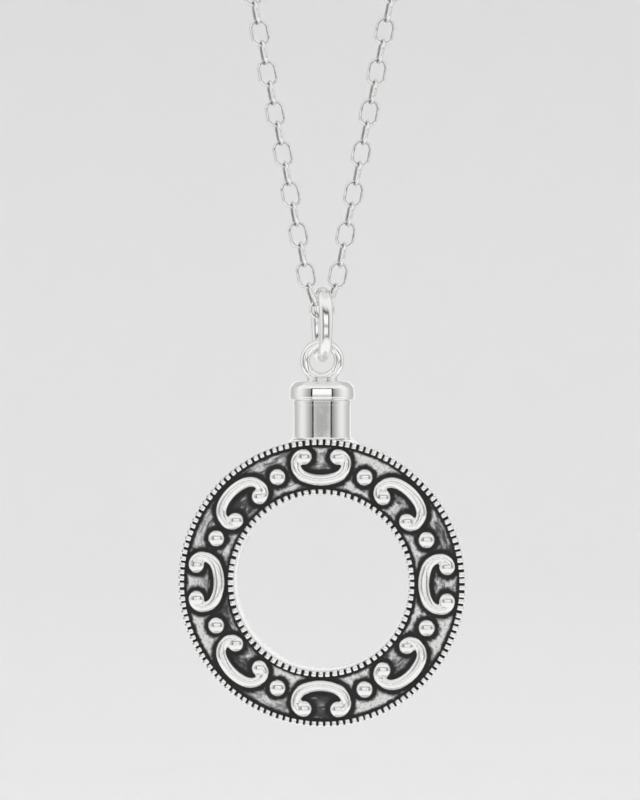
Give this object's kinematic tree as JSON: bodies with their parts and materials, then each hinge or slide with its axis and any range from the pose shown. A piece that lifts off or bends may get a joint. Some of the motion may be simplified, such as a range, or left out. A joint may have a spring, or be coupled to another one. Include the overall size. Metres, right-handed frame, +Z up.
{
  "type": "cremation pendant on a cable chain",
  "caption": "Round silver pendant with a pierced middle, scroll and boss ornament, and a screw-capped filling neck, hung by a bail on a closed cable chain.",
  "frame": {"origin": "the top of the chain's loop, where the necklace hangs from a neck or a peg", "axes": "+Z up, -Y the way the ornamented face looks, +X to the right seen from the front"},
  "size_m": [0.0682, 0.0064, 0.2477],
  "materials": {
    "oxidised_silver": "silver with a blackened field and polished relief",
    "polished_silver": "polished silver",
    "chain_silver": "polished silver wire"
  },
  "bodies": {
    "chain": {"chain_left": "chain_silver", "chain_right": "chain_silver", "clasp": "polished_silver", "end_ring": "polished_silver"},
    "bail": {"bail": "polished_silver"},
    "cap": {"cap": "polished_silver"},
    "pendant": {"pendant_body": "oxidised_silver"}
  },
  "joints": [
    {"name": "bail_swing", "type": "hinge", "parent": "chain", "child": "bail", "pos_m": [0, 0, -0.20373], "axis": [0.9455, 0.3256, 0], "range_deg": [-25, 25]},
    {"name": "pendant_swing", "type": "hinge", "parent": "bail", "child": "cap", "pos_m": [0, 0, -0.20909], "axis": [0, 1, 0], "range_deg": [-60, 60]},
    {"name": "cap_unscrew", "type": "slide", "parent": "cap", "child": "pendant", "axis": [0, 0, -1], "range_m": [0, 0.006]}
  ]
}
